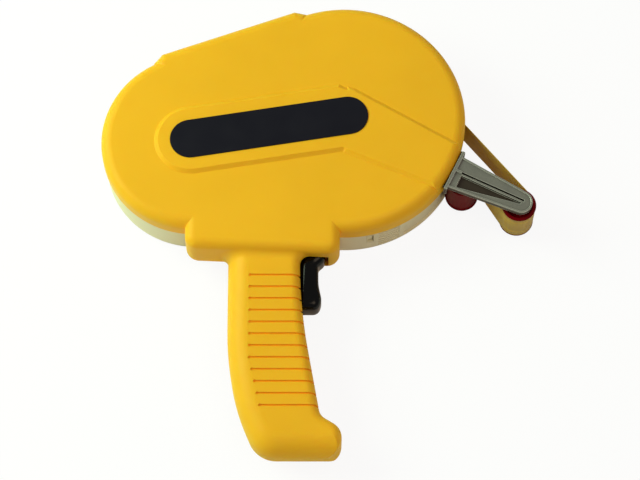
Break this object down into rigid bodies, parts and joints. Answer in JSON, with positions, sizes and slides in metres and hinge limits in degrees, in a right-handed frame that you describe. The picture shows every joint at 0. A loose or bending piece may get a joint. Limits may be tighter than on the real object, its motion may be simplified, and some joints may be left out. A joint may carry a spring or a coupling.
{
  "type": "adhesive transfer tape dispenser",
  "caption": "Pistol-grip tape dispenser lying on its side: yellow two-lobed case over a cream hinged cover, black trigger, grey nose arm with red tape rollers.",
  "frame": {"origin": "point of the supply roll's axis on the outer face of the side cover, the face it lies on", "axes": "+X forward to the tape nose, +Y from the grip up to the cover's hinge, +Z out of the yellow main face"},
  "size_m": [0.215, 0.232, 0.0354],
  "materials": {
    "yellow_plastic": "satin moulded",
    "cream_plastic": "satin moulded",
    "label_film": "gloss film on a plate",
    "cast_metal": "die cast, satin",
    "steel": "bright",
    "red_roller": "gloss",
    "gear_plastic": "natural nylon",
    "paper_core": "paper board",
    "adhesive_tape": "wound, satin",
    "liner_paper": "coated paper",
    "trigger_plastic": "gloss",
    "pad_rubber": "matte"
  },
  "bodies": {
    "housing": {"side_shell": "yellow_plastic", "grip_back_half": "yellow_plastic", "face_plate": "label_film", "hinge_pin": "steel", "supply_spindle": "steel", "takeup_spindle": "steel", "idler_spindle": "steel", "hub_washers": "steel", "hub_screws": "steel", "nose_bracket": "cast_metal", "nose_axle": "steel", "guide_axle": "steel", "nose_clip": "steel", "guide_clip": "steel", "liner_post": "gear_plastic", "tape_web": "adhesive_tape", "trigger_pin": "steel", "trigger_spring": "steel", "brake_pin": "steel", "grip_screws": "steel", "bracket_screws": "steel"},
    "cover": {"side_cover": "cream_plastic"},
    "latch": {"cover_latch": "cream_plastic"},
    "supply": {"supply_gear": "gear_plastic", "tape_core": "paper_core", "tape_roll": "adhesive_tape"},
    "idler": {"idler_gear": "gear_plastic"},
    "takeup": {"takeup_gear": "gear_plastic", "takeup_hub": "gear_plastic", "liner_winding": "liner_paper", "clutch_spring": "steel"},
    "nose_roll": {"nose_roller": "red_roller"},
    "guide_roll": {"guide_roller": "red_roller"},
    "trigger_lever": {"trigger": "trigger_plastic"},
    "brake": {"brake_lever": "gear_plastic", "brake_pad": "pad_rubber"}
  },
  "joints": [
    {"name": "cover_hinge", "type": "hinge", "parent": "housing", "child": "cover", "pos_m": [-0.0576, 0.04492, 0.0215], "axis": [0.9424, 0.3346, 0], "range_deg": [0, 110]},
    {"name": "latch_press", "type": "slide", "parent": "cover", "child": "latch", "axis": [-0.2164, 0.9763, 0], "range_m": [0, 0.0008], "stiffness_N_per_m": 600, "springref_m": -0.0008},
    {"name": "supply_spin", "type": "hinge", "parent": "housing", "child": "supply", "pos_m": [0, 0, 0.0055], "axis": [0, 0, 1], "continuous": true},
    {"name": "idler_spin", "type": "hinge", "parent": "housing", "child": "idler", "pos_m": [-0.04443, -0.00712, 0.0254], "axis": [0, 0, 1], "continuous": true},
    {"name": "takeup_spin", "type": "hinge", "parent": "housing", "child": "takeup", "pos_m": [-0.07406, -0.01186, 0.0055], "axis": [0, 0, 1], "continuous": true},
    {"name": "nose_spin", "type": "hinge", "parent": "housing", "child": "nose_roll", "pos_m": [0.08591, -0.0444, 0.0045], "axis": [0, 0, 1], "continuous": true},
    {"name": "guide_spin", "type": "hinge", "parent": "housing", "child": "guide_roll", "pos_m": [0.0589, -0.0314, 0.0045], "axis": [0, 0, 1], "continuous": true},
    {"name": "trigger_pull", "type": "hinge", "parent": "housing", "child": "trigger_lever", "pos_m": [-0.0142, -0.0646, 0.0169], "axis": [0, 0, -1], "range_deg": [0, 8], "stiffness_Nm_per_rad": 0.15, "springref_deg": -5.73, "deforming": ["trigger_spring"]},
    {"name": "brake_swing", "type": "hinge", "parent": "housing", "child": "brake", "pos_m": [-0.025, -0.047, 0.0254], "axis": [0, 0, 1], "range_deg": [0, 6.4]}
  ],
  "couplings": [
    {"joint": "idler_spin", "follows": "supply_spin", "ratio": -2},
    {"joint": "takeup_spin", "follows": "supply_spin", "ratio": 2},
    {"joint": "nose_spin", "follows": "supply_spin", "ratio": 5.7215},
    {"joint": "guide_spin", "follows": "supply_spin", "ratio": -5.9474},
    {"joint": "brake_swing", "follows": "trigger_pull", "ratio": 0.8}
  ]
}
